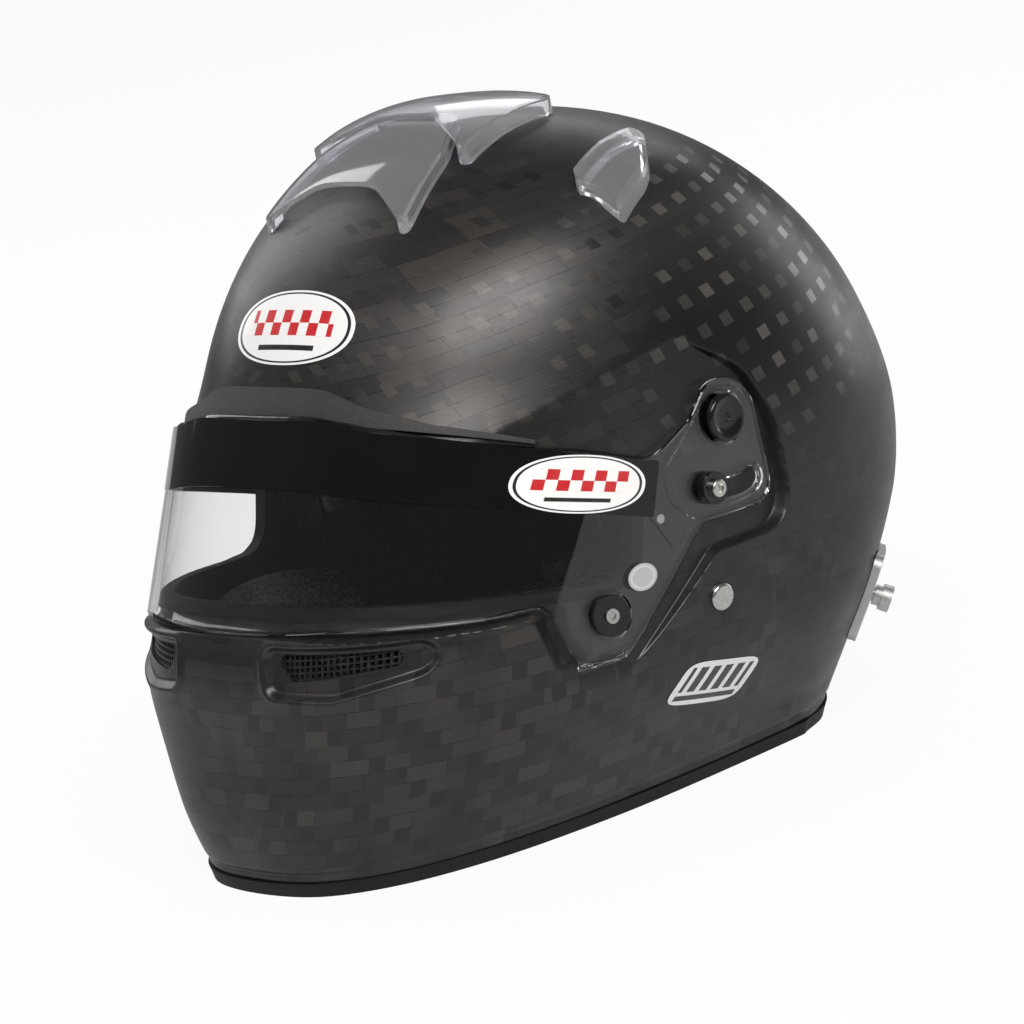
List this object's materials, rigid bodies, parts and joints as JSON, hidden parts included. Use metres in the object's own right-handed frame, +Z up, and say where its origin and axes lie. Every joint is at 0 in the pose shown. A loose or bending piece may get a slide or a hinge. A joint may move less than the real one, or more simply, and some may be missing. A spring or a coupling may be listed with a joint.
{
  "type": "auto racing helmet",
  "caption": "Full-face auto racing helmet in woven carbon with a hinged clear visor, clear top scoops, mesh chin vents, padded lining, chin strap and rear tether posts.",
  "frame": {"origin": "on the flat rim plane, under the middle of the shell's length and width", "axes": "+Z up to the crown, -Y to the wearer's front, +X to the wearer's left"},
  "size_m": [0.2554, 0.3421, 0.2787],
  "materials": {
    "carbon": "satin clear-coated woven carbon",
    "rubber": "matt black rubber",
    "satin_trim": "satin dark grey",
    "foam": "black expanded foam",
    "fleece": "dark grey brushed fleece",
    "clear": "clear polycarbonate",
    "film": "gloss black film",
    "smoked": "lightly smoked clear plastic",
    "webbing": "black woven webbing",
    "steel": "bright steel",
    "wire": "dark wire mesh",
    "plastic": "black plastic",
    "satin_metal": "satin bead-blasted aluminium"
  },
  "bodies": {
    "helmet": {"shell_outer": "carbon", "rim_trim": "rubber", "eyeport_gasket": "rubber", "brow_trim": "satin_trim", "crown_liner": "foam", "comfort_liner": "fleece", "chin_liner": "foam", "neck_pad": "fleece", "top_scoop_front": "smoked", "top_scoop_rear": "smoked", "chin_strap_left": "webbing", "chin_strap_right": "webbing", "d_ring_inner": "steel", "d_ring_outer": "steel", "vent_mesh_left": "wire", "vent_mesh_right": "wire", "cheek_pad_left": "fleece", "cheek_pad_right": "fleece", "pivot_boss_left": "plastic", "pivot_boss_right": "plastic", "pivot_cap_left": "plastic", "pivot_cap_right": "plastic", "pivot_nut_left": "steel", "pivot_nut_right": "steel", "guide_bush_left": "plastic", "guide_bush_right": "plastic", "guide_screw_left": "steel", "guide_screw_right": "steel", "guide_nut_left": "steel", "guide_nut_right": "steel", "latch_plate_left": "plastic", "latch_plate_right": "plastic", "latch_screw_left": "steel", "latch_screw_right": "steel", "strap_rivet_left": "steel", "strap_rivet_right": "steel", "strap_washer_left": "steel", "strap_washer_right": "steel", "anchor_plate_left": "satin_metal", "anchor_plate_right": "satin_metal", "anchor_post_left": "satin_metal", "anchor_post_right": "satin_metal", "anchor_washer_left": "steel", "anchor_washer_right": "steel", "side_scoop_left": "smoked", "side_scoop_right": "smoked"},
    "visor": {"visor_shield": "clear", "sun_strip": "film", "snap_stud_left": "plastic", "snap_stud_right": "plastic", "stud_screw_left": "steel", "stud_screw_right": "steel"}
  },
  "joints": [
    {"name": "visor_hinge", "type": "hinge", "parent": "helmet", "child": "visor", "pos_m": [0, 0.00667, 0.1477], "axis": [-1, 0, 0], "range_deg": [0, 46.5]}
  ]
}
